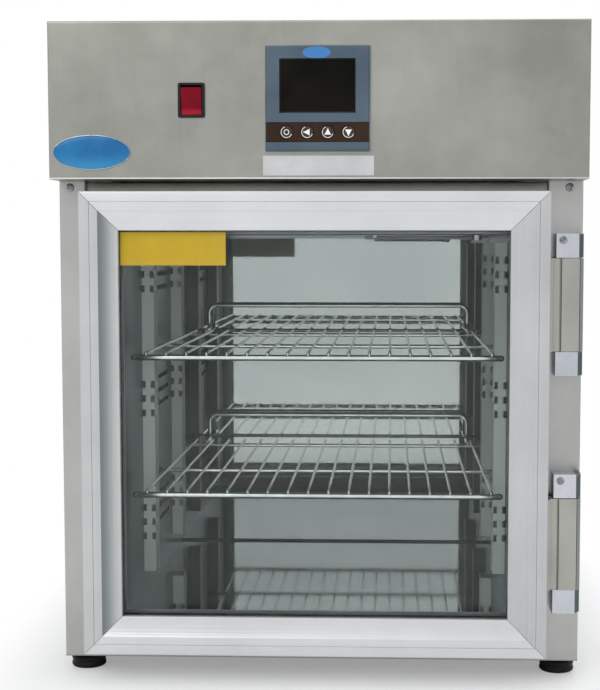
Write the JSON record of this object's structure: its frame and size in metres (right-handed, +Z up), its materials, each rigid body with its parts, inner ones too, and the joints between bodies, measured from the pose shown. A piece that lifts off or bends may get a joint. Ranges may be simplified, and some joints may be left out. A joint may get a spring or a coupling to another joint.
{
  "type": "blanket warming cabinet",
  "caption": "Stainless benchtop blanket warming cabinet with a hinged double-glazed door, wire shelves on notched uprights and a control head with fan and heater.",
  "frame": {"origin": "on the floor, under the middle of the cabinet's overall box", "axes": "+Z up, the door and the controls face -Y, +X to the right with the hinges on +X"},
  "size_m": [0.5, 0.539, 0.624],
  "materials": {
    "stainless": "brushed stainless sheet",
    "polished_liner": "polished stainless liner sheet",
    "liner": "bright stainless liner sheet",
    "rear_sheet": "mill finish stainless sheet",
    "foam": "rigid foam",
    "upright_steel": "folded stainless",
    "clip_steel": "bright steel",
    "heater_metal": "heat-darkened steel",
    "motor_metal": "painted motor case",
    "impeller_aluminium": "pressed aluminium",
    "black_plastic": "moulded black plastic",
    "slate_plastic": "slate blue moulded plastic",
    "screen_window": "dark display window",
    "red_rocker": "translucent red plastic",
    "terminal_plastic": "pale terminal plastic",
    "hinge_chrome": "satin chrome casting",
    "door_aluminium": "satin anodised extrusion",
    "corner_key_plastic": "filled plastic",
    "glass": "clear float glass with a faint green cast",
    "spacer": "dark anodised spacer",
    "gasket_rubber": "dark grey extruded seal",
    "shelf_wire": "bright plated wire",
    "key_plastic": "dark brown moulded key",
    "foot_plastic": "black moulded foot"
  },
  "bodies": {
    "cabinet": {"left_side_panel": "stainless", "right_side_panel": "stainless", "back_panel": "rear_sheet", "base_pan": "rear_sheet", "bottom_sill": "stainless", "header_rail": "stainless", "insulation_foam": "foam", "liner_back": "polished_liner", "liner_floor": "liner", "liner_ceiling": "liner", "duct_backplates": "liner", "left_vent_panel": "liner", "right_vent_panel": "liner", "ceiling_baffle": "liner", "shelf_uprights": "upright_steel", "upper_shelf_clips": "clip_steel", "lower_shelf_clips": "clip_steel", "heater_element": "heater_metal", "fan_motor": "motor_metal", "temperature_probe": "clip_steel", "overheat_thermostat": "black_plastic", "head_deck": "rear_sheet", "head_cover": "stainless", "fascia_panel": "stainless", "head_rear_panel": "rear_sheet", "controller_housing": "black_plastic", "controller_bezel": "slate_plastic", "controller_screen": "screen_window", "switch_housing": "black_plastic", "power_inlet": "black_plastic", "terminal_block": "terminal_plastic", "cabinet_screws": "clip_steel", "upper_hinge_bracket": "hinge_chrome", "lower_hinge_bracket": "hinge_chrome", "hinge_pins": "hinge_chrome"},
    "door": {"upper_hinge_leaf": "hinge_chrome", "lower_hinge_leaf": "hinge_chrome", "door_corner_keys": "corner_key_plastic", "outer_glass": "glass", "inner_glass": "glass", "glazing_spacer": "spacer", "door_gasket": "gasket_rubber", "door_rail_left": "door_aluminium", "door_rail_right": "door_aluminium", "door_rail_top": "door_aluminium", "door_rail_bottom": "door_aluminium"},
    "upper_shelf": {"upper_shelf_grid": "shelf_wire", "upper_shelf_back_stop": "shelf_wire"},
    "lower_shelf": {"lower_shelf_grid": "shelf_wire", "lower_shelf_back_stop": "shelf_wire"},
    "power_rocker": {"switch_rocker": "red_rocker"},
    "fan_rotor": {"fan_impeller": "impeller_aluminium"},
    "key_set": {"key_set": "key_plastic"},
    "key_left": {"key_left": "key_plastic"},
    "key_up": {"key_up": "key_plastic"},
    "key_down": {"key_down": "key_plastic"},
    "foot_front_left": {"foot_front_left": "foot_plastic"},
    "foot_front_right": {"foot_front_right": "foot_plastic"},
    "foot_rear_left": {"foot_rear_left": "foot_plastic"},
    "foot_rear_right": {"foot_rear_right": "foot_plastic"}
  },
  "joints": [
    {"name": "door_swing", "type": "hinge", "parent": "cabinet", "child": "door", "pos_m": [0.2333, -0.2445, 0.25], "axis": [0, 0, 1], "range_deg": [0, 175]},
    {"name": "upper_shelf_lift", "type": "slide", "parent": "cabinet", "child": "upper_shelf", "axis": [0, 0, 1], "range_m": [0, 0.012]},
    {"name": "lower_shelf_lift", "type": "slide", "parent": "cabinet", "child": "lower_shelf", "axis": [0, 0, 1], "range_m": [0, 0.012]},
    {"name": "power_switch_rock", "type": "hinge", "parent": "cabinet", "child": "power_rocker", "pos_m": [-0.1164, -0.2595, 0.5513], "axis": [-1, 0, 0], "range_deg": [0, 18]},
    {"name": "fan_spin", "type": "hinge", "parent": "cabinet", "child": "fan_rotor", "pos_m": [-0.004, 0.0105, 0.45], "axis": [0, 0, 1], "continuous": true},
    {"name": "key_set_press", "type": "slide", "parent": "cabinet", "child": "key_set", "axis": [0, 1, 0], "range_m": [0, 0.001], "stiffness_N_per_m": 400},
    {"name": "key_left_press", "type": "slide", "parent": "cabinet", "child": "key_left", "axis": [0, 1, 0], "range_m": [0, 0.001], "stiffness_N_per_m": 400},
    {"name": "key_up_press", "type": "slide", "parent": "cabinet", "child": "key_up", "axis": [0, 1, 0], "range_m": [0, 0.001], "stiffness_N_per_m": 400},
    {"name": "key_down_press", "type": "slide", "parent": "cabinet", "child": "key_down", "axis": [0, 1, 0], "range_m": [0, 0.001], "stiffness_N_per_m": 400},
    {"name": "foot_front_left_turn", "type": "hinge", "parent": "cabinet", "child": "foot_front_left", "pos_m": [-0.2325, -0.1985, 0.01], "axis": [0, 0, 1], "continuous": true},
    {"name": "foot_front_right_turn", "type": "hinge", "parent": "cabinet", "child": "foot_front_right", "pos_m": [0.2325, -0.1985, 0.01], "axis": [0, 0, 1], "continuous": true},
    {"name": "foot_rear_left_turn", "type": "hinge", "parent": "cabinet", "child": "foot_rear_left", "pos_m": [-0.2325, 0.2255, 0.01], "axis": [0, 0, 1], "continuous": true},
    {"name": "foot_rear_right_turn", "type": "hinge", "parent": "cabinet", "child": "foot_rear_right", "pos_m": [0.2325, 0.2255, 0.01], "axis": [0, 0, 1], "continuous": true}
  ]
}
